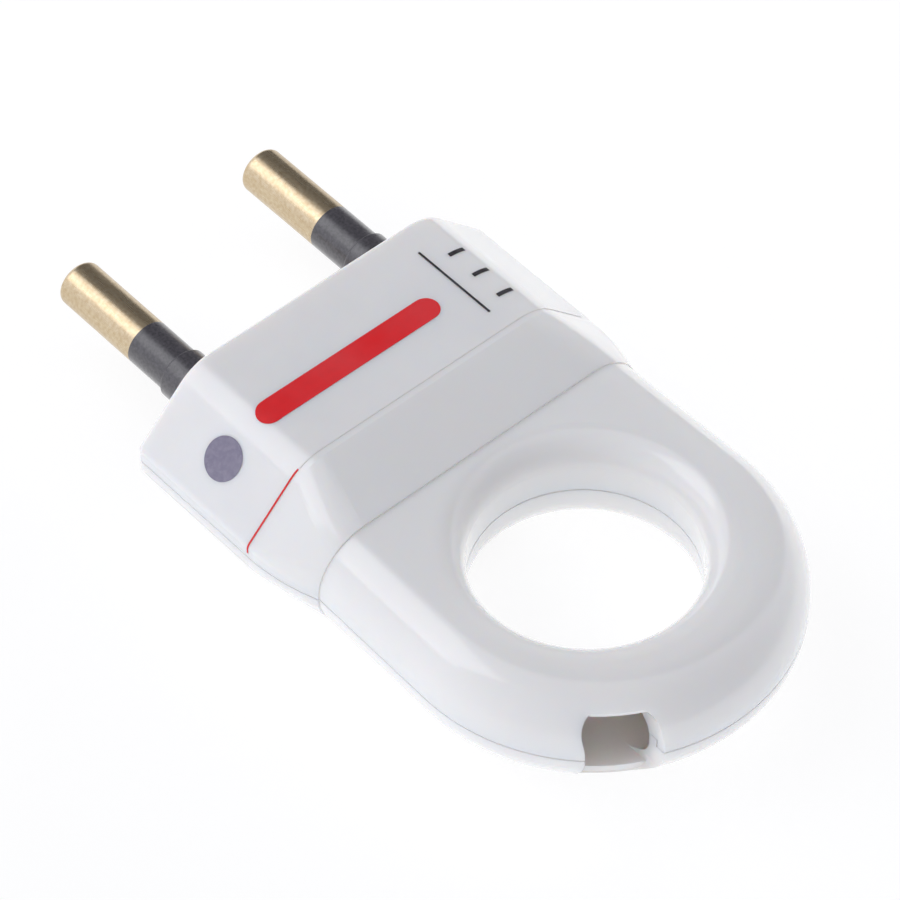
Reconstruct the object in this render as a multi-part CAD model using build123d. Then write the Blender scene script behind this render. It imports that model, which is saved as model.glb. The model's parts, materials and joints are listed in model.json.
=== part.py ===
"""Flat two-pin mains plug with a finger-ring handle, in millimetres.

The two moulded shells meet at mid-height and clamp the sleeved brass pins between them. One screw
from the underside holds them together. The pins point along +Y, the finger ring along -Y.
"""
import os
from math import sqrt
from typing import NamedTuple

from build123d import *

# Contact pins
PIN_SPACING = 19.0
PIN_DIAMETER = 4.0
PIN_LENGTH = 17.7
PIN_TIP_ROUND = 0.5
NECK_DIAMETER = 2.8

# Insulating sleeves, which are flush with the pins in front of their collars
SLEEVE_LENGTH = 8.8
COLLAR_LENGTH = 4.7
COLLAR_DIAMETER = 4.5
FLANGE_DIAMETER = 6.4
FLANGE_THICKNESS = 1.2

# Terminals at the inner ends of the pins
BARREL_DIAMETER = 6.4
BARREL_LENGTH = 8.6
WIRE_BORE_DIAMETER = 3.0
WIRE_BORE_DEPTH = 6.6
TERMINAL_SCREW_DIAMETER = 2.8
TERMINAL_SCREW_LENGTH = 3.2
TERMINAL_SCREW_SETBACK = 3.0
SLOT_WIDTH = 0.6
SLOT_DEPTH = 0.7

# Head of the housing: its straight part, then the ramp that falls to the crease where the ring begins
BODY_LENGTH = 49.6
HEAD_LENGTH = 14.0
HEAD_WIDTH = 35.4
HEAD_HEIGHT = 13.9
HEAD_SIDE = 2.5
SHOULDER_ROUND = 4.5
SIDE_ROUND = 0.8
FRONT_ROUND = 0.5
RAMP_LENGTH = 6.15
RAMP_MIDDLE_INSET = 0.4
RAMP_MIDDLE_DROP = 0.85
RAMP_MIDDLE_LIFT = 1.35
RAMP_MIDDLE_SIDE_TOP = 1.75
RAMP_MIDDLE_SIDE_BOTTOM = 1.25
RAMP_SIDE_ROUND = 2.4
CREASE_STEP = 0.15

# Finger ring
RING_INSET = 1.1
RING_WAIST = 0.35
RING_CROWN = 5.0
RING_UNDERSIDE = 4.0
RING_FLAT = 0.25
RIM_BAND = 0.3
HOLE_DIAMETER = 18.3
HOLE_OFFSET = 0.8
HOLE_ROUND = 2.6

# Shell walls and the joint between the shells
WALL = 1.5
INNER_ROUND = 0.3
LIP_HEIGHT = 0.8
SEAM_GROOVE_HEIGHT = 0.12
SEAM_GROOVE_DEPTH = 0.15

# Cord entry, which runs parallel to the pins on the left side of the ring, and its grip teeth
CORD_OFFSET = 9.15
CORD_SLOT_WIDTH = 4.9
CORD_SLOT_TOP = 4.05
CORD_SLOT_BOTTOM = 3.2
CORD_SLOT_ROUND = 1.2
CORD_SLOT_OUTER_ROUND = 2.3
TOOTH_COUNT = 3
TOOTH_PITCH = 3.0
TOOTH_THICKNESS = 0.8
TOOTH_HEIGHT = 1.1

# Ribs inside the head
RIB_THICKNESS = 1.4
RIB_WIDTH = 9.0
RIB_ROOT = 0.2

# Screw that holds the shells together
SCREW_DIAMETER = 3.0
SCREW_HEAD_DIAMETER = 5.6
SCREW_HEAD_HEIGHT = 2.0
SCREW_LENGTH = 6.0
SCREW_SETBACK = 3.0
SCREW_RECESS = 0.6
BOSS_WALL = 1.0
SCREW_BORE_SPARE = 0.8

# Clear printed film round the head
FILM_THICKNESS = 0.05
FILM_FRONT = 0.6
FILM_REAR_MARGIN = 0.5

# Fits
CLEARANCE = 0.05
HEAD_CLEARANCE = 0.2

# Places that follow from the sizes above, with the front face at y = 0 and the seam at z = 0
LEFT, RIGHT = -1, 1
RING_WIDTH = HEAD_WIDTH - 2 * RING_INSET
RING_CENTRE_Y = RING_WIDTH / 2 - BODY_LENGTH
HOLE_CENTRE_Y = RING_CENTRE_Y + HOLE_OFFSET
CREASE_Y = -HEAD_LENGTH - RAMP_LENGTH
RAMP_MIDDLE_Y = -HEAD_LENGTH - RAMP_LENGTH / 2
RAMP_MIDDLE_TOP = HEAD_HEIGHT / 2 - RAMP_MIDDLE_DROP
RAMP_MIDDLE_BOTTOM = HEAD_HEIGHT / 2 - RAMP_MIDDLE_LIFT
BARREL_FRONT_Y = -WALL - FLANGE_THICKNESS
BARREL_REAR_Y = BARREL_FRONT_Y - BARREL_LENGTH
SCREW_Y = -HEAD_LENGTH - SCREW_SETBACK
HEAD_BORE_DIAMETER = SCREW_HEAD_DIAMETER + 2 * HEAD_CLEARANCE
FACE_Y = (BODY_LENGTH - PIN_LENGTH) / 2
SEAM_Z = HEAD_HEIGHT / 2 + CLEARANCE + FILM_THICKNESS
BIG = 4 * BODY_LENGTH

# Leg of the 45 degree bevel that touches a quarter round, for each millimetre of the round's radius
ROUND_LEG = 2 - sqrt(2)


class Half(NamedTuple):
    """Upper or lower half of a section of the head: its height, that of its upright side, and its rounds."""
    height: float
    side: float
    shoulder_round: float
    side_round: float


def section(y, width, upper, lower, inset):
    """Cross-section at y: a rectangle with four bevelled and rounded corners, drawn inward by inset."""
    half_width = width / 2 - inset
    corners = []
    for half, up, across in ((upper, 1, 1), (lower, -1, -1)):
        height, side = half.height - inset, half.side - (1 - ROUND_LEG) * inset
        shoulder = half_width - (height - side)
        corners += [
            (across * half_width, up * side), (across * shoulder, up * height),
            (-across * shoulder, up * height), (-across * half_width, up * side),
        ]
    outline = make_face(Polyline(*corners, close=True))
    for half, up in ((upper, 1), (lower, -1)):
        side_round = max(half.side_round - inset, INNER_ROUND)
        sides = outline.vertices().filter_by(lambda v: abs(abs(v.X) - half_width) < 0.001 and up * v.Y > 0)
        outline = fillet(sides, side_round)
        shoulders = outline.vertices().filter_by(lambda v: abs(up * v.Y - half.height + inset) < 0.001)
        outline = fillet(shoulders, half.shoulder_round - inset)
    return Plane(origin=(0, y, 0), x_dir=(1, 0, 0), z_dir=(0, -1, 0)) * outline


def straight_section(y, inset):
    """Section of the head between the front face and the top of the ramp."""
    half = Half(HEAD_HEIGHT / 2, HEAD_SIDE / 2, SHOULDER_ROUND, SIDE_ROUND)
    return section(y, HEAD_WIDTH, half, half, inset)


def straight_head(front_y, rear_y, inset):
    return extrude(straight_section(front_y, inset), front_y - rear_y)


def rim_round(height):
    """Round of the ring's outer rim, as large as the arm and the height of its shell leave room for."""
    arm = (RING_WIDTH - HOLE_DIAMETER) / 2
    return min(arm - HOLE_ROUND - RING_FLAT, height - RIM_BAND)


def crease_half(height):
    """Half of the ramp's last section, which stands a small step proud of the ring."""
    full_round = rim_round(height) + CREASE_STEP
    top, corner_round = height + CREASE_STEP, full_round - RING_FLAT
    return Half(top, top - ROUND_LEG * full_round, corner_round, corner_round)


def ramp(inset):
    """Rear of the head, which falls and narrows to the section of the ring."""
    middle_halves = [
        Half(height, side, SHOULDER_ROUND, RAMP_SIDE_ROUND)
        for height, side in (
            (RAMP_MIDDLE_TOP, RAMP_MIDDLE_SIDE_TOP), (RAMP_MIDDLE_BOTTOM, RAMP_MIDDLE_SIDE_BOTTOM),
        )
    ]
    crease_halves = [crease_half(height) for height in (RING_CROWN, RING_UNDERSIDE)]
    crease_width = RING_WIDTH - 2 * RING_WAIST + 2 * CREASE_STEP
    return loft([
        straight_section(-HEAD_LENGTH, inset),
        section(RAMP_MIDDLE_Y, HEAD_WIDTH - 2 * RAMP_MIDDLE_INSET, *middle_halves, inset),
        section(CREASE_Y, crease_width, *crease_halves, inset),
    ])


def ring(inset):
    """Finger ring: a round-ended plate with a round hole, crowned by large rounds on both rims."""
    radius, hole_radius = RING_WIDTH / 2 - inset, HOLE_DIAMETER / 2 + inset
    root = Line((RING_WAIST - radius, RAMP_MIDDLE_Y), (radius - RING_WAIST, RAMP_MIDDLE_Y))
    plan = make_hull((Pos(0, RING_CENTRE_Y) * Circle(radius)).edges() + root.edges())
    plan -= Pos(0, HOLE_CENTRE_Y) * Circle(hole_radius)
    plate = extrude(plan, RING_CROWN - inset) + extrude(plan, inset - RING_UNDERSIDE)

    def is_hole(edge):
        return edge.geom_type == GeomType.CIRCLE and abs(edge.radius - hole_radius) < 0.001

    def is_rim(edge):
        return not is_hole(edge) and edge.center().Y < RAMP_MIDDLE_Y - 0.001

    for order, height in ((-1, RING_CROWN), (0, RING_UNDERSIDE)):
        for chosen, full_round in ((is_hole, HOLE_ROUND), (is_rim, rim_round(height))):
            edges = plate.faces().sort_by(Axis.Z)[order].edges().filter_by(chosen)
            plate = fillet(edges, full_round - inset)
    return plate


def body(inset):
    """Whole outer form of the housing, drawn inward by inset."""
    return straight_head(-inset, -HEAD_LENGTH, inset) + ramp(inset) + ring(inset)


def rounded_front(solid):
    front_edges = solid.edges().filter_by(lambda e: abs(e.bounding_box().min.Y) < 0.001)
    return fillet(front_edges, FRONT_ROUND)


def slab(low_z, high_z):
    return Pos(0, 0, (low_z + high_z) / 2) * Box(BIG, BIG, high_z - low_z)


def along_y(x, rear_y, front_y, diameter):
    """Cylinder parallel to the pins."""
    middle = Location((x, (rear_y + front_y) / 2, 0), (90, 0, 0))
    return middle * Cylinder(diameter / 2, front_y - rear_y)


def upright(x, y, low_z, high_z, diameter):
    return Pos(x, y, (low_z + high_z) / 2) * Cylinder(diameter / 2, high_z - low_z)


def turned(x, profile):
    """Piece turned about the axis of the pin at x, from (radius, y) points."""
    outline = make_face(Polyline(*profile, close=True))
    return Pos(x, 0, 0) * revolve(outline, Axis.Y)


def pin(side):
    """Brass pin, its neck under the sleeve and its terminal barrel, turned in one piece."""
    x = side * PIN_SPACING / 2
    contact, neck, barrel = PIN_DIAMETER / 2, NECK_DIAMETER / 2, BARREL_DIAMETER / 2
    solid = turned(x, [
        (0, PIN_LENGTH), (contact, PIN_LENGTH), (contact, SLEEVE_LENGTH), (neck, SLEEVE_LENGTH),
        (neck, BARREL_FRONT_Y), (barrel, BARREL_FRONT_Y), (barrel, BARREL_REAR_Y), (0, BARREL_REAR_Y),
    ])
    tip = solid.edges().sort_by(Axis.Y)[-1]
    solid = fillet(tip, PIN_TIP_ROUND)
    solid -= along_y(x, BARREL_REAR_Y, BARREL_REAR_Y + WIRE_BORE_DEPTH, WIRE_BORE_DIAMETER)
    screw_y = BARREL_REAR_Y + TERMINAL_SCREW_SETBACK
    return solid - upright(x, screw_y, 0, BARREL_DIAMETER, TERMINAL_SCREW_DIAMETER + 2 * CLEARANCE)


def sleeve(side):
    """Black sleeve on the neck, with its bevelled collar and the flange behind the front wall."""
    neck, flush = NECK_DIAMETER / 2, PIN_DIAMETER / 2
    collar, flange = COLLAR_DIAMETER / 2, FLANGE_DIAMETER / 2
    bevel_end_y = COLLAR_LENGTH - (collar - flush)
    return turned(side * PIN_SPACING / 2, [
        (neck, SLEEVE_LENGTH), (flush, SLEEVE_LENGTH), (flush, COLLAR_LENGTH), (collar, bevel_end_y),
        (collar, -WALL), (flange, -WALL), (flange, BARREL_FRONT_Y), (neck, BARREL_FRONT_Y),
    ])


def driver_slot(x, y, low_z, diameter):
    """Slot across the end of a screw."""
    return Pos(x, y, low_z + SLOT_DEPTH / 2) * Box(2 * diameter, SLOT_WIDTH, SLOT_DEPTH)


def terminal_screw(side):
    x = side * PIN_SPACING / 2
    y = BARREL_REAR_Y + TERMINAL_SCREW_SETBACK
    low_z = WIRE_BORE_DIAMETER / 2 - CLEARANCE
    high_z = low_z + TERMINAL_SCREW_LENGTH
    shank = upright(x, y, low_z, high_z, TERMINAL_SCREW_DIAMETER)
    return shank - driver_slot(x, y, high_z - SLOT_DEPTH, TERMINAL_SCREW_DIAMETER)


def screw_seat_z():
    """Height of the screw head's bearing face in the lower shell."""
    return SCREW_RECESS + SCREW_HEAD_HEIGHT - RAMP_MIDDLE_BOTTOM


def housing_screw():
    seat_z = screw_seat_z()
    low_z = seat_z - SCREW_HEAD_HEIGHT
    head = upright(0, SCREW_Y, low_z, seat_z, SCREW_HEAD_DIAMETER)
    head -= driver_slot(0, SCREW_Y, low_z, SCREW_HEAD_DIAMETER)
    return head + upright(0, SCREW_Y, seat_z, seat_z + SCREW_LENGTH, SCREW_DIAMETER)


def ribs():
    """Cradles under the terminals and the barrier between them, before the terminals are cut out."""
    blocks = []
    for side in (LEFT, RIGHT):
        for y in (BARREL_FRONT_Y - RIB_THICKNESS, BARREL_REAR_Y + RIB_THICKNESS / 2):
            blocks.append(Pos(side * PIN_SPACING / 2, y, 0) * Box(RIB_WIDTH, RIB_THICKNESS, BIG))
    blocks.append(Pos(0, BARREL_REAR_Y / 2, 0) * Box(RIB_THICKNESS, -BARREL_REAR_Y, BIG))
    return blocks


def grip_teeth():
    """Teeth across the left arm of the ring, on the floor and the ceiling of the cord channel."""
    inside = TOOTH_HEIGHT / 2 - RIB_ROOT / 2 + WALL
    blocks = []
    for index in range(TOOTH_COUNT):
        y = HOLE_CENTRE_Y + (index - (TOOTH_COUNT - 1) / 2) * TOOTH_PITCH
        for z in (RING_CROWN - inside, inside - RING_UNDERSIDE):
            block = Box(RING_WIDTH / 2, TOOTH_THICKNESS, TOOTH_HEIGHT + RIB_ROOT)
            blocks.append(Pos(-RING_WIDTH / 4, y, z) * block)
    return blocks


def cord_slot():
    """Rounded slot into the left arm of the ring, parallel to the pins.

    It has its full height in the outer wall, and the height of the cord channel inside it.
    """
    slot = Rectangle(CORD_SLOT_WIDTH, CORD_SLOT_TOP + CORD_SLOT_BOTTOM)
    slot = fillet(slot.vertices().sort_by(lambda v: v.X + v.Y)[:-1], CORD_SLOT_ROUND)
    slot = fillet(slot.vertices().sort_by(lambda v: v.X + v.Y)[-1], CORD_SLOT_OUTER_ROUND)
    middle_z = (CORD_SLOT_TOP - CORD_SLOT_BOTTOM) / 2
    plane = Plane(origin=(-CORD_OFFSET, -BODY_LENGTH, middle_z), x_dir=(-1, 0, 0), z_dir=(0, 1, 0))
    passage = extrude(plane * slot, BODY_LENGTH + RING_CENTRE_Y)
    channel_outside = RING_WIDTH - 2 * WALL
    channel_middle = (channel_outside + HOLE_DIAMETER + 2 * WALL) / 2
    mouth = passage - upright(0, RING_CENTRE_Y, -BIG / 2, BIG / 2, channel_outside)
    throat = passage - upright(0, RING_CENTRE_Y, -BIG / 2, BIG / 2, channel_middle)
    return mouth + (throat & slab(WALL - RING_UNDERSIDE, RING_CROWN - WALL))


def housing():
    """Both shells as one hollow body with its inner walls, before the seam divides it."""
    outside, cavity = body(0), body(WALL)
    rib_space = body(WALL - RIB_ROOT)
    solid = rounded_front(outside) - cavity
    for block in ribs() + grip_teeth():
        solid += block & rib_space
    solid += upright(0, SCREW_Y, -BIG / 2, BIG / 2, HEAD_BORE_DIAMETER + 2 * BOSS_WALL) & rib_space
    for side in (LEFT, RIGHT):
        x = side * PIN_SPACING / 2
        solid -= along_y(x, -WALL, 0, COLLAR_DIAMETER + 2 * CLEARANCE)
        solid -= along_y(x, BARREL_REAR_Y, -WALL, BARREL_DIAMETER + 2 * CLEARANCE)
    solid -= cord_slot()
    groove = (outside - body(SEAM_GROOVE_DEPTH)) & slab(-SEAM_GROOVE_HEIGHT / 2, SEAM_GROOVE_HEIGHT / 2)
    return solid - groove


def lip(inset, height):
    """Raised inner half of the wall along the seam."""
    return (body(inset) - body(WALL)) & slab(0, height)


def shells():
    whole = housing()
    seat_z = screw_seat_z()
    shank_end_z = seat_z + SCREW_LENGTH + SCREW_BORE_SPARE
    cord = cord_slot()
    upper = whole & slab(0, BIG)
    upper -= lip(WALL / 2 - CLEARANCE, LIP_HEIGHT + CLEARANCE)
    upper -= upright(0, SCREW_Y, 0, shank_end_z, SCREW_DIAMETER + 2 * CLEARANCE)
    lower = whole & slab(-BIG, 0)
    ledge = lip(WALL / 2 + CLEARANCE, LIP_HEIGHT) - cord
    for side in (LEFT, RIGHT):
        ledge -= along_y(side * PIN_SPACING / 2, -WALL, 0, COLLAR_DIAMETER + 2 * CLEARANCE)
    lower += ledge
    lower -= upright(0, SCREW_Y, -BIG / 2, seat_z, HEAD_BORE_DIAMETER)
    lower -= upright(0, SCREW_Y, seat_z, BIG / 2, SCREW_DIAMETER + 2 * HEAD_CLEARANCE)
    return upper, lower


def label_film():
    outer = straight_head(-FILM_FRONT, FILM_REAR_MARGIN - HEAD_LENGTH, -CLEARANCE - FILM_THICKNESS)
    return outer - straight_head(0, -HEAD_LENGTH, -CLEARANCE)


def main():
    os.makedirs("parts", exist_ok=True)
    upper, lower = shells()
    nodes = {
        "upper_shell": upper,
        "lower_shell": lower,
        "housing_screw": housing_screw(),
        "label_film": label_film(),
    }
    for name, side in (("left", LEFT), ("right", RIGHT)):
        nodes[f"{name}_pin"] = pin(side)
        nodes[f"{name}_sleeve"] = sleeve(side)
        nodes[f"{name}_terminal_screw"] = terminal_screw(side)
    place = Pos(0, FACE_Y, SEAM_Z)
    for name, shape in nodes.items():
        export_step(place * shape, f"parts/{name}.step")


main()
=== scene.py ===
"""Looks of the flat two-pin plug: materials, the generic print on the film, floor, lights and camera."""
import json
from math import cos, pi, radians, sin, sqrt, tan

import bpy
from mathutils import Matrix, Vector


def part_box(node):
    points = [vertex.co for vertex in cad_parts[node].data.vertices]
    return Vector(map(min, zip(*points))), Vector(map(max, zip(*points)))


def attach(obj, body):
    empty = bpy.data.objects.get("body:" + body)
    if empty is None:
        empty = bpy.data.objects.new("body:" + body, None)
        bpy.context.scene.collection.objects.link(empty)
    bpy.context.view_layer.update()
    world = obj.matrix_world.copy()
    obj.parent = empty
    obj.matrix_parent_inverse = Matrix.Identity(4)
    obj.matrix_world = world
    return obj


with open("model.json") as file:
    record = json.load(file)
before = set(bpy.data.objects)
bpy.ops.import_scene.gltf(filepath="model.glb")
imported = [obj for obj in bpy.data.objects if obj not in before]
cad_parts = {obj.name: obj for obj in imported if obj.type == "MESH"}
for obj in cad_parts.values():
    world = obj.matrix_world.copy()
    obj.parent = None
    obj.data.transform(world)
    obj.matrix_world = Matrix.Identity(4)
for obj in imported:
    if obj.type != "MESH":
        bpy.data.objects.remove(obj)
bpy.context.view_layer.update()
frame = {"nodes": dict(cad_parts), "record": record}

MM = 0.001

# Section of the head under the film, in millimetres: flat above and below, with sloping shoulders between
# there and the upright sides. The film's outer face lies FILM_TOP above it
FILM_TOP = 0.1
film_low, film_high = [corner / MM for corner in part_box("label_film")]
FACE_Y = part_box("upper_shell")[1].y / MM
SEAM_Z = (film_low.z + film_high.z) / 2
HEAD_HALF_WIDTH = film_high.x - FILM_TOP
HEAD_HALF_HEIGHT = film_high.z - SEAM_Z - FILM_TOP
HEAD_HALF_SIDE = 1.25
SHOULDER_ROUND = 4.5
SIDE_ROUND = 0.8
SHOULDER_SLOPE = radians(45)

# Ink, and the painted shade line along the film's rear edge, lie under the film, between these two heights
# above the shell, in millimetres
INK_LOW = 0.015
INK_HIGH = 0.035

# Places of the print and of the painted shade line, in millimetres: start and end go round the head's
# section from the middle of its top, with the left side negative, and y is measured from the front face
STRIPE = {"start": -11.8, "end": 6.4, "middle_y": -7.9, "height": 2.3}
DISC = {"start": -17.7, "end": -14.1, "middle_y": -7.3, "height": 3.6}
LINE = {"start": 8.7, "end": 8.9, "low": -11.4, "high": -3.0}
TICK = {"start": 10.4, "end": 12.0}
TICK_ROWS = (-4.8, -7.65, -10.5)
TICK_HALF_WIDTH = 0.2
EDGE_INSET = 0.04
EDGE_Y = film_low.y - FACE_Y + EDGE_INSET
RED_EDGE_WIDTH = 0.16
RED_EDGE = {"start": -20.6, "end": -12.6, "low": EDGE_Y, "high": EDGE_Y + RED_EDGE_WIDTH}
# The light grey bar along the film's rear edge is painted shade: a line in place of the shadow cast by the
# film's thin edge on the shell
FILM_EDGE_SHADE_WIDTH = 0.05
FILM_EDGE_SHADE = {"start": -12.5, "end": 18.5, "low": EDGE_Y, "high": EDGE_Y + FILM_EDGE_SHADE_WIDTH}

# Columns of faces in the print and the painted shade: in a short bar, in the red bar and the painted shade
# line on the film's rear edge, along a stripe and in each of its round ends. TINY keeps columns apart, and
# the tips of a round end open
BAR_COLUMNS = 8
RED_EDGE_COLUMNS = 40
FILM_EDGE_SHADE_COLUMNS = 80
STRIPE_COLUMNS = 36
ROUND_COLUMNS = 12
TINY = 1e-6

# Floor: half its side in metres, its drop below the plug in millimetres, its colour where it lights the
# plug, and the matt and glowing shares of its white where it is seen
FLOOR_HALF = 3.0
FLOOR_DROP = 0.02
FLOOR_COLOUR = (0.92, 0.92, 0.93, 1)
FLOOR_MATT = (0.25, 0.25, 0.25, 1)
FLOOR_GLOW = 0.8

# Light tent: its tint, the way to its opening, the opening's angle and soft edge in degrees and its share of
# the light, and the way to the back wall, with the light of the wall at the camera and of the back wall
TENT_TINT = (0.93, 0.94, 1.0, 1)
OPENING = (0.648, 0.489, 0.583)
OPENING_ANGLE = 40
OPENING_BLUR = 2.5
OPENING_LIGHT = 0.18
BACK_WALL = (-0.05, 0.99, 0.13)
WALL_LIGHTS = (0.4, 1.32)

# Lamps, in metres and watts: two softboxes, and a light table just above the floor that shines upwards
LEFT_BACK_LAMP = {"place": (-0.314, 0.342, 0.523), "width": 0.42, "height": 0.42, "power": 0.6}
RIGHT_LAMP = {"place": (0.65, 0.21, 0.14), "width": 0.4, "height": 0.25, "power": 2.0, "mirrored": False}
TABLE_LAMP = {"place": (0, 0, -0.01 * MM), "width": 0.5, "height": 0.5, "power": 0.32, "mirrored": False}
UPWARDS = (0, 0, 1)

# Camera, in metres, with its lens and sensor in millimetres
CAMERA_PLACE = (-0.167109, -0.189823, 0.302188)
CAMERA_FORWARD = (0.43188, 0.48870, -0.75805)
CAMERA_LENS = 200
CAMERA_SENSOR = 36
CAMERA_NEAREST = 0.01
CAMERA_FURTHEST = 20

# Samples of the shading that rounds edges
EDGE_SAMPLES = 6


# Materials


def new_material(name):
    """New node material, with its shader and the object's own coordinates."""
    material = bpy.data.materials.new(name)
    material.use_nodes = True
    nodes = material.node_tree.nodes
    shader = nodes["Principled BSDF"]
    place = nodes.new("ShaderNodeTexCoord").outputs["Object"]
    return material, shader, place


def link(material, source, target):
    material.node_tree.links.new(source, target)


def noise(material, place, scale, detail=3.0, stretch=(1, 1, 1)):
    """Grey noise with scale features per metre, with that scale multiplied along each axis by stretch."""
    nodes = material.node_tree.nodes
    mapping = nodes.new("ShaderNodeMapping")
    mapping.inputs["Scale"].default_value = stretch
    texture = nodes.new("ShaderNodeTexNoise")
    texture.inputs["Scale"].default_value = scale
    texture.inputs["Detail"].default_value = detail
    link(material, place, mapping.inputs["Vector"])
    link(material, mapping.outputs["Vector"], texture.inputs["Vector"])
    return texture.outputs["Fac"]


def vary_colour(material, shader, factor, stops):
    """Base colour that runs through stops, each a level of the noise and a colour."""
    ramp = material.node_tree.nodes.new("ShaderNodeValToRGB")
    elements = ramp.color_ramp.elements
    while len(elements) < len(stops):
        elements.new(0.5)
    for element, (level, colour) in zip(elements, stops):
        element.position = level
        element.color = (*colour, 1)
    link(material, factor, ramp.inputs["Fac"])
    link(material, ramp.outputs["Color"], shader.inputs["Base Color"])


def vary(material, socket, factor, low, high, levels=(0.3, 0.7)):
    """Value of a shader's socket that runs from low to high between two levels of the noise."""
    spread = material.node_tree.nodes.new("ShaderNodeMapRange")
    for name, value in zip(("From Min", "From Max", "To Min", "To Max"), (*levels, low, high)):
        spread.inputs[name].default_value = value
    link(material, factor, spread.inputs["Value"])
    link(material, spread.outputs["Result"], socket)


def add_bump(material, shader, factor, height_mm, strength, edge_mm=0):
    """Fine relief, on edges that look rounded to edge_mm."""
    nodes = material.node_tree.nodes
    bump = nodes.new("ShaderNodeBump")
    bump.inputs["Strength"].default_value = strength
    bump.inputs["Distance"].default_value = height_mm * MM
    link(material, factor, bump.inputs["Height"])
    if edge_mm:
        edges = nodes.new("ShaderNodeBevel")
        edges.samples = EDGE_SAMPLES
        edges.inputs["Radius"].default_value = edge_mm * MM
        link(material, edges.outputs["Normal"], bump.inputs["Normal"])
    link(material, bump.outputs["Normal"], shader.inputs["Normal"])


def white_plastic():
    """Glossy moulded plastic that lets a little light through."""
    material, shader, place = new_material("white_plastic")
    dull, bright = (0.825, 0.818, 0.812), (0.845, 0.838, 0.832)
    vary_colour(material, shader, noise(material, place, 90), [(0.3, dull), (0.7, bright)])
    vary(material, shader.inputs["Roughness"], noise(material, place, 350), 0.15, 0.22)
    grain = noise(material, place, 2500, detail=2)
    add_bump(material, shader, grain, height_mm=0.004, strength=0.25, edge_mm=0.08)
    shader.inputs["IOR"].default_value = 1.5
    shader.inputs["Coat Weight"].default_value = 1
    shader.inputs["Coat Roughness"].default_value = 0.05
    shader.inputs["Subsurface Weight"].default_value = 0.6
    shader.inputs["Subsurface Radius"].default_value = (1.0, 0.75, 0.55)
    shader.inputs["Subsurface Scale"].default_value = 1.6 * MM
    return material


def clear_film():
    """Thin clear film, a little hazy in places and not quite flat."""
    material, shader, place = new_material("clear_film")
    blue, pale = (0.70, 0.73, 0.84), (0.79, 0.80, 0.86)
    vary_colour(material, shader, noise(material, place, 160, detail=2), [(0.35, blue), (0.65, pale)])
    vary(material, shader.inputs["Roughness"], noise(material, place, 500), 0.12, 0.2)
    add_bump(material, shader, noise(material, place, 220, detail=2), height_mm=0.02, strength=0.2)
    vary(material, shader.inputs["Alpha"], noise(material, place, 130), 0.01, 0.03, levels=(0.4, 0.65))
    return material


def satin_brass():
    """Turned brass with fine streaks along the pin and faint stains."""
    material, shader, place = new_material("satin_brass")
    streaks = noise(material, place, 1500, detail=4, stretch=(1.6, 0.12, 1.6))
    stains = noise(material, place, 3200, detail=5)
    dark, middle, bright = (0.56, 0.43, 0.265), (0.63, 0.505, 0.335), (0.69, 0.575, 0.40)
    vary_colour(material, shader, stains, [(0.3, dark), (0.5, middle), (0.7, bright)])
    vary(material, shader.inputs["Roughness"], streaks, 0.22, 0.36)
    add_bump(material, shader, streaks, height_mm=0.01, strength=0.35)
    shader.inputs["Metallic"].default_value = 1
    return material


def black_sleeve():
    """Grained black plastic with a satin sheen."""
    material, shader, place = new_material("black_sleeve")
    speckle = noise(material, place, 4200)
    dark, bright = (0.03, 0.027, 0.034), (0.065, 0.06, 0.07)
    vary_colour(material, shader, speckle, [(0.35, dark), (0.65, bright)])
    vary(material, shader.inputs["Roughness"], noise(material, place, 900), 0.3, 0.42)
    add_bump(material, shader, speckle, height_mm=0.03, strength=0.6, edge_mm=0.12)
    shader.inputs["Coat Weight"].default_value = 1
    shader.inputs["Coat Roughness"].default_value = 0.25
    return material


def plated_steel():
    """Zinc plated steel with fine streaks."""
    material, shader, place = new_material("plated_steel")
    streaks = noise(material, place, 1500, stretch=(0.2, 2, 1))
    dark, bright = (0.50, 0.50, 0.52), (0.68, 0.68, 0.69)
    vary_colour(material, shader, streaks, [(0.3, dark), (0.7, bright)])
    vary(material, shader.inputs["Roughness"], streaks, 0.28, 0.42)
    add_bump(material, shader, streaks, height_mm=0.008, strength=0.3)
    shader.inputs["Metallic"].default_value = 1
    return material


def ink(name, thin, full):
    """Printed ink, a little uneven between its thin and its full colour; it also colours the painted shade
    line at the film's rear edge.
    """
    material, shader, place = new_material(name)
    vary_colour(material, shader, noise(material, place, 2600, detail=4), [(0.3, thin), (0.6, full)])
    vary(material, shader.inputs["Roughness"], noise(material, place, 1800), 0.35, 0.5)
    shader.inputs["Specular IOR Level"].default_value = 0.2
    return material


def dress_nodes():
    """Gives every solid of the plug its material."""
    looks = {
        "shell_plastic": white_plastic(),
        "clear_film": clear_film(),
        "contact_brass": satin_brass(),
        "sleeve_plastic": black_sleeve(),
        "screw_steel": plated_steel(),
    }
    for part in frame["record"]["subparts"]:
        mesh = frame["nodes"][part["node"]].data
        mesh.materials.clear()
        mesh.materials.append(looks[part["material_slot"]])


# Print on the film


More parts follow.
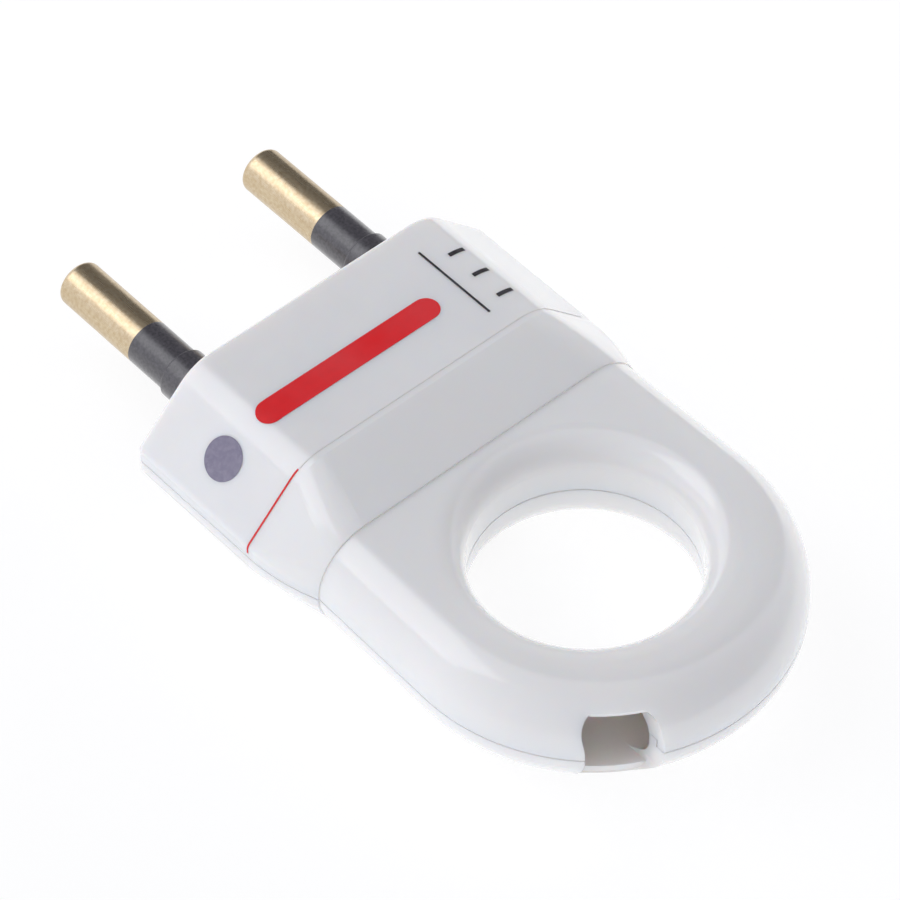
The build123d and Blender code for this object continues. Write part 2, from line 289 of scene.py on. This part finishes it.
def on_head(along, y, lift):
    """Point lift above the head's section, along round it from the top's middle, y from the front face."""
    tangent = tan(SHOULDER_SLOPE / 2)
    shoulder, side = SHOULDER_ROUND + lift, SIDE_ROUND + lift
    half_width, half_height = HEAD_HALF_WIDTH + lift, HEAD_HALF_HEIGHT + lift
    half_side = HEAD_HALF_SIDE + lift * tangent
    drop = half_height - half_side
    # Length and radius of each run from the flat top to the upright side, with 0 for a straight one
    runs = [
        (half_width - drop - shoulder * tangent, 0),
        (shoulder * SHOULDER_SLOPE, shoulder),
        (drop * sqrt(2) - (shoulder + side) * tangent, 0),
        (side * SHOULDER_SLOPE, side),
        (half_side, 0),
    ]
    x, z, heading, left = 0.0, half_height, 0.0, abs(along)
    for length, radius in runs:
        step = min(left, length)
        left -= step
        turn = step / radius if radius else 0.0
        chord = 2 * radius * sin(turn / 2) if radius else step
        x += chord * cos(heading + turn / 2)
        z -= chord * sin(heading + turn / 2)
        heading += turn
    if along < 0:
        x = -x
    return Vector((x, y + FACE_Y, z + SEAM_Z)) * MM


def ink_patch(name, material, places, low, high):
    """Thin closed patch of ink through places round the head; low and high give its edges at each place.

    Each place has four points, the lower and the upper one of both edges.
    """
    points = []
    for along in places:
        for y in (low(along), high(along)):
            points += [on_head(along, y, INK_LOW), on_head(along, y, INK_HIGH)]
    last = len(points) - 4
    faces = [(0, 1, 3, 2), (last, last + 2, last + 3, last + 1)]
    for a in range(0, last, 4):
        b = a + 4
        faces += [(a, a + 2, b + 2, b), (a + 1, b + 1, b + 3, a + 3)]
        faces += [(a, b, b + 1, a + 1), (a + 2, a + 3, b + 3, b + 2)]
    mesh = bpy.data.meshes.new(name)
    mesh.from_pydata(points, [], faces)
    mesh.materials.append(material)
    patch = bpy.data.objects.new(name, mesh)
    bpy.context.collection.objects.link(patch)
    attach(patch, "root")


def bar(name, material, start, end, low, high, columns=BAR_COLUMNS):
    places = [start + (end - start) * index / columns for index in range(columns + 1)]
    ink_patch(name, material, places, lambda along: low, lambda along: high)


def stadium(name, material, start, end, middle_y, height):
    """Stripe with round ends; one that is as long as it is high is a disc."""
    radius = height / 2
    straight = end - start - height
    ends = [radius * (1 - cos(pi / 2 * index / ROUND_COLUMNS)) for index in range(ROUND_COLUMNS + 1)]
    middle = [start + radius + straight * index / STRIPE_COLUMNS for index in range(1, STRIPE_COLUMNS)]
    places = [start + reach for reach in ends] + middle + [end - reach for reach in reversed(ends)]
    apart = [place for before, place in zip(places, places[1:]) if place - before > TINY]

    def half_height(along):
        reach = max(0.0, start + radius - along, along - (end - radius))
        return sqrt(max(radius ** 2 - reach ** 2, TINY))

    def low(along):
        return middle_y - half_height(along)

    def high(along):
        return middle_y + half_height(along)

    ink_patch(name, material, places[:1] + apart, low, high)


def print_film():
    """Generic print: a stripe, a disc, a line, three ticks and a red bar on the film's rear edge, which a
    light grey bar of painted shade continues along that edge.
    """
    red = ink("red_ink", (0.72, 0.009, 0.012), (0.77, 0.007, 0.01))
    black = ink("black_ink", (0.05, 0.045, 0.05), (0.02, 0.018, 0.02))
    grey = ink("grey_ink", (0.27, 0.25, 0.33), (0.22, 0.2, 0.28))
    # Light grey colour of the painted shade line along the film's rear edge
    pale = ink("painted_film_edge_shade_colour", (0.74, 0.72, 0.70), (0.68, 0.66, 0.64))
    stadium("red_stripe", red, **STRIPE)
    stadium("grey_disc", grey, **DISC)
    bar("black_line", black, **LINE)
    for number, row in enumerate(TICK_ROWS, start=1):
        bar(f"black_tick_{number}", black, low=row - TICK_HALF_WIDTH, high=row + TICK_HALF_WIDTH, **TICK)
    bar("red_edge", red, columns=RED_EDGE_COLUMNS, **RED_EDGE)
    # Painted shade: a light grey line along the film's rear edge, in place of the shadow of the film's own
    # edge
    bar("painted_film_edge_shade", pale, columns=FILM_EDGE_SHADE_COLUMNS, **FILM_EDGE_SHADE)


# Stage


def floor_material():
    """Matt pale floor that reads as white in the picture and in reflections, and is clear from below."""
    material = bpy.data.materials.new("floor")
    material.use_nodes = True
    nodes = material.node_tree.nodes
    nodes.clear()
    output = nodes.new("ShaderNodeOutputMaterial")
    paths = nodes.new("ShaderNodeLightPath")
    seen = nodes.new("ShaderNodeMath")
    seen.operation = "MAXIMUM"
    link(material, paths.outputs["Is Camera Ray"], seen.inputs[0])
    link(material, paths.outputs["Is Glossy Ray"], seen.inputs[1])
    lighting = nodes.new("ShaderNodeBsdfDiffuse")
    lighting.inputs["Color"].default_value = FLOOR_COLOUR
    matt = nodes.new("ShaderNodeBsdfDiffuse")
    matt.inputs["Color"].default_value = FLOOR_MATT
    glow = nodes.new("ShaderNodeEmission")
    glow.inputs["Strength"].default_value = FLOOR_GLOW
    white = nodes.new("ShaderNodeAddShader")
    link(material, matt.outputs["BSDF"], white.inputs[0])
    link(material, glow.outputs["Emission"], white.inputs[1])
    upper_side = nodes.new("ShaderNodeMixShader")
    link(material, seen.outputs["Value"], upper_side.inputs["Fac"])
    link(material, lighting.outputs["BSDF"], upper_side.inputs[1])
    link(material, white.outputs["Shader"], upper_side.inputs[2])
    clear = nodes.new("ShaderNodeBsdfTransparent")
    both_sides = nodes.new("ShaderNodeMixShader")
    link(material, nodes.new("ShaderNodeNewGeometry").outputs["Backfacing"], both_sides.inputs["Fac"])
    link(material, upper_side.outputs["Shader"], both_sides.inputs[1])
    link(material, clear.outputs["BSDF"], both_sides.inputs[2])
    link(material, both_sides.outputs["Shader"], output.inputs["Surface"])
    return material


def pale_floor():
    """Floor under the plug, which keeps its soft shadow."""
    mesh = bpy.data.meshes.new("floor")
    corners = [(x * FLOOR_HALF, y * FLOOR_HALF, 0) for x, y in ((-1, -1), (1, -1), (1, 1), (-1, 1))]
    mesh.from_pydata(corners, [], [(0, 1, 2, 3)])
    mesh.materials.append(floor_material())
    floor = bpy.data.objects.new("floor", mesh)
    floor.location.z = -FLOOR_DROP * MM
    bpy.context.collection.objects.link(floor)


def softbox(name, place, width, height, power, aim=(0, 0, 0), mirrored=True):
    """Rectangular area light that faces aim; one that isn't mirrored shows in no reflection."""
    lamp = bpy.data.lights.new(name, "AREA")
    lamp.shape = "RECTANGLE"
    lamp.size = width
    lamp.size_y = height
    lamp.energy = power
    box = bpy.data.objects.new(name, lamp)
    box.location = place
    box.rotation_euler = (Vector(aim) - Vector(place)).to_track_quat("-Z", "Y").to_euler()
    box.visible_camera = False
    box.visible_glossy = mirrored
    bpy.context.collection.objects.link(box)


def tent():
    """World like a white tent, brightest at its back wall, with a darker opening behind on the right.

    To the camera it is plain white.
    """
    world = bpy.data.worlds.new("tent")
    world.use_nodes = True
    nodes, links = world.node_tree.nodes, world.node_tree.links
    place = nodes.new("ShaderNodeTexCoord").outputs["Generated"]

    def toward(direction, edges, levels, blend):
        """Runs between two levels by how far a ray points along direction."""
        facing = nodes.new("ShaderNodeVectorMath")
        facing.operation = "DOT_PRODUCT"
        facing.inputs[1].default_value = direction
        links.new(place, facing.inputs[0])
        spread = nodes.new("ShaderNodeMapRange")
        spread.interpolation_type = blend
        for name, value in zip(("From Min", "From Max", "To Min", "To Max"), (*edges, *levels)):
            spread.inputs[name].default_value = value
        links.new(facing.outputs["Value"], spread.inputs["Value"])
        return spread.outputs["Result"]

    rim = [cos(radians(OPENING_ANGLE + side * OPENING_BLUR)) for side in (1, -1)]
    opening = toward(OPENING, rim, (1, OPENING_LIGHT), "SMOOTHSTEP")
    walls = toward(BACK_WALL, (-1, 1), WALL_LIGHTS, "LINEAR")
    light = nodes.new("ShaderNodeMath")
    light.operation = "MULTIPLY"
    links.new(opening, light.inputs[0])
    links.new(walls, light.inputs[1])
    background = nodes["Background"]
    background.inputs["Color"].default_value = TENT_TINT
    links.new(light.outputs["Value"], background.inputs["Strength"])
    white = nodes.new("ShaderNodeBackground")
    white.inputs["Color"].default_value = (1, 1, 1, 1)
    either = nodes.new("ShaderNodeMixShader")
    links.new(nodes.new("ShaderNodeLightPath").outputs["Is Camera Ray"], either.inputs["Fac"])
    links.new(background.outputs["Background"], either.inputs[1])
    links.new(white.outputs["Background"], either.inputs[2])
    links.new(either.outputs["Shader"], nodes["World Output"].inputs["Surface"])
    bpy.context.scene.world = world


def lights():
    softbox("left_back_softbox", **LEFT_BACK_LAMP)
    softbox("right_softbox", **RIGHT_LAMP)
    softbox("light_table", aim=UPWARDS, **TABLE_LAMP)


def camera():
    data = bpy.data.cameras.new("camera")
    data.lens = CAMERA_LENS
    data.sensor_width = CAMERA_SENSOR
    data.clip_start = CAMERA_NEAREST
    data.clip_end = CAMERA_FURTHEST
    eye = bpy.data.objects.new("camera", data)
    eye.location = CAMERA_PLACE
    eye.rotation_euler = Vector(CAMERA_FORWARD).to_track_quat("-Z", "Y").to_euler()
    bpy.context.collection.objects.link(eye)
    bpy.context.scene.camera = eye


dress_nodes()
print_film()
pale_floor()
tent()
lights()
camera()
bpy.context.scene.view_settings.view_transform = "Standard"
